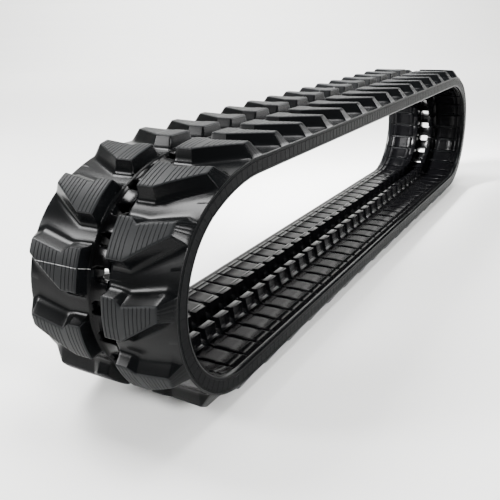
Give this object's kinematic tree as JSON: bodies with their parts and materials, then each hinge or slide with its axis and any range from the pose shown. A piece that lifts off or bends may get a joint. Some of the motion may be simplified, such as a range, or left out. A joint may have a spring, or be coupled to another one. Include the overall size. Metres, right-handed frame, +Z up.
{
  "type": "rubber crawler track",
  "caption": "Closed loop of reinforced rubber crawler track with staggered tread lugs, sprocket windows, paired guide lugs and roller pads over embedded steel cores.",
  "frame": {"origin": "on the ground under the middle of the loop, level with the tops of the tread lugs it stands on", "axes": "+X along the track towards the rear bend, +Y across the belt to its left edge, +Z up"},
  "size_m": [1.9784, 0.3, 0.4513],
  "materials": {
    "tread_rubber": "moulded black rubber, satin",
    "carcass_rubber": "moulded black rubber, smooth",
    "guide_rubber": "moulded black rubber, glossy",
    "forged_core": "forged steel, as forged",
    "steel_cord": "brass-plated steel cord in rubber"
  },
  "bodies": {
    "lower_run": {"lower_run_core_bars": "forged_core", "lower_run_cord_plies": "steel_cord", "lower_run_guide_rubber": "guide_rubber", "lower_run_roller_rubber": "carcass_rubber", "lower_run_tread_rubber": "carcass_rubber", "lower_run_tread_lugs": "tread_rubber"},
    "rear_bend_low": {"rear_bend_low_core_bars": "forged_core", "rear_bend_low_cord_plies": "steel_cord", "rear_bend_low_guide_rubber": "guide_rubber", "rear_bend_low_roller_rubber": "carcass_rubber", "rear_bend_low_tread_rubber": "carcass_rubber", "rear_bend_low_tread_lugs": "tread_rubber"},
    "rear_bend_mid": {"rear_bend_mid_core_bars": "forged_core", "rear_bend_mid_cord_plies": "steel_cord", "rear_bend_mid_guide_rubber": "guide_rubber", "rear_bend_mid_roller_rubber": "carcass_rubber", "rear_bend_mid_tread_rubber": "carcass_rubber", "rear_bend_mid_tread_lugs": "tread_rubber"},
    "rear_bend_high": {"rear_bend_high_core_bars": "forged_core", "rear_bend_high_cord_plies": "steel_cord", "rear_bend_high_guide_rubber": "guide_rubber", "rear_bend_high_roller_rubber": "carcass_rubber", "rear_bend_high_tread_rubber": "carcass_rubber", "rear_bend_high_tread_lugs": "tread_rubber"},
    "rear_top_run": {"rear_top_run_core_bars": "forged_core", "rear_top_run_cord_plies": "steel_cord", "rear_top_run_guide_rubber": "guide_rubber", "rear_top_run_roller_rubber": "carcass_rubber", "rear_top_run_tread_rubber": "carcass_rubber", "rear_top_run_tread_lugs": "tread_rubber"},
    "front_top_run": {"front_top_run_core_bars": "forged_core", "front_top_run_cord_plies": "steel_cord", "front_top_run_guide_rubber": "guide_rubber", "front_top_run_roller_rubber": "carcass_rubber", "front_top_run_tread_rubber": "carcass_rubber", "front_top_run_tread_lugs": "tread_rubber"},
    "front_bend_high": {"front_bend_high_core_bars": "forged_core", "front_bend_high_cord_plies": "steel_cord", "front_bend_high_guide_rubber": "guide_rubber", "front_bend_high_roller_rubber": "carcass_rubber", "front_bend_high_tread_rubber": "carcass_rubber", "front_bend_high_tread_lugs": "tread_rubber"},
    "front_bend_mid": {"front_bend_mid_core_bars": "forged_core", "front_bend_mid_cord_plies": "steel_cord", "front_bend_mid_guide_rubber": "guide_rubber", "front_bend_mid_roller_rubber": "carcass_rubber", "front_bend_mid_tread_rubber": "carcass_rubber", "front_bend_mid_tread_lugs": "tread_rubber"},
    "front_bend_low": {"front_bend_low_core_bars": "forged_core", "front_bend_low_cord_plies": "steel_cord", "front_bend_low_guide_rubber": "guide_rubber", "front_bend_low_roller_rubber": "carcass_rubber", "front_bend_low_tread_rubber": "carcass_rubber", "front_bend_low_tread_lugs": "tread_rubber"}
  },
  "joints": [
    {"name": "rear_flex_1", "type": "hinge", "parent": "lower_run", "child": "rear_bend_low", "pos_m": [0.78748, 0, 0.04166], "axis": [0, 1, 0], "range_deg": [-4, 4], "stiffness_Nm_per_rad": 1200, "springref_deg": -0.97},
    {"name": "rear_flex_2", "type": "hinge", "parent": "rear_bend_low", "child": "rear_bend_mid", "pos_m": [0.91856, 0, 0.11921], "axis": [0, 1, 0], "range_deg": [-4, 4], "stiffness_Nm_per_rad": 1200, "springref_deg": 0.96},
    {"name": "rear_flex_3", "type": "hinge", "parent": "rear_bend_mid", "child": "rear_bend_high", "pos_m": [0.91707, 0, 0.31697], "axis": [0, 1, 0], "range_deg": [-4, 4], "stiffness_Nm_per_rad": 1200, "springref_deg": 0.96},
    {"name": "rear_flex_4", "type": "hinge", "parent": "rear_bend_high", "child": "rear_top_run", "pos_m": [0.78649, 0, 0.39864], "axis": [0, 1, 0], "range_deg": [-4, 4], "stiffness_Nm_per_rad": 1200, "springref_deg": -0.95},
    {"name": "front_flex_1", "type": "hinge", "parent": "lower_run", "child": "front_bend_low", "pos_m": [-0.78748, 0, 0.04166], "axis": [0, -1, 0], "range_deg": [-4, 4], "stiffness_Nm_per_rad": 1200, "springref_deg": -0.97},
    {"name": "front_flex_2", "type": "hinge", "parent": "front_bend_low", "child": "front_bend_mid", "pos_m": [-0.91856, 0, 0.11921], "axis": [0, -1, 0], "range_deg": [-4, 4], "stiffness_Nm_per_rad": 1200, "springref_deg": 0.96},
    {"name": "front_flex_3", "type": "hinge", "parent": "front_bend_mid", "child": "front_bend_high", "pos_m": [-0.91707, 0, 0.31697], "axis": [0, -1, 0], "range_deg": [-4, 4], "stiffness_Nm_per_rad": 1200, "springref_deg": 0.96},
    {"name": "front_flex_4", "type": "hinge", "parent": "front_bend_high", "child": "front_top_run", "pos_m": [-0.78649, 0, 0.39864], "axis": [0, -1, 0], "range_deg": [-4, 4], "stiffness_Nm_per_rad": 1200, "springref_deg": -0.95}
  ],
  "couplings": [
    {"joint": "rear_flex_2", "follows": "rear_flex_1", "ratio": -0.98859},
    {"joint": "rear_flex_3", "follows": "rear_flex_1", "ratio": -0.98859},
    {"joint": "rear_flex_4", "follows": "rear_flex_1", "ratio": 0.97718},
    {"joint": "front_flex_1", "follows": "rear_flex_1", "ratio": 1},
    {"joint": "front_flex_2", "follows": "rear_flex_1", "ratio": -0.98859},
    {"joint": "front_flex_3", "follows": "rear_flex_1", "ratio": -0.98859},
    {"joint": "front_flex_4", "follows": "rear_flex_1", "ratio": 0.97718}
  ]
}
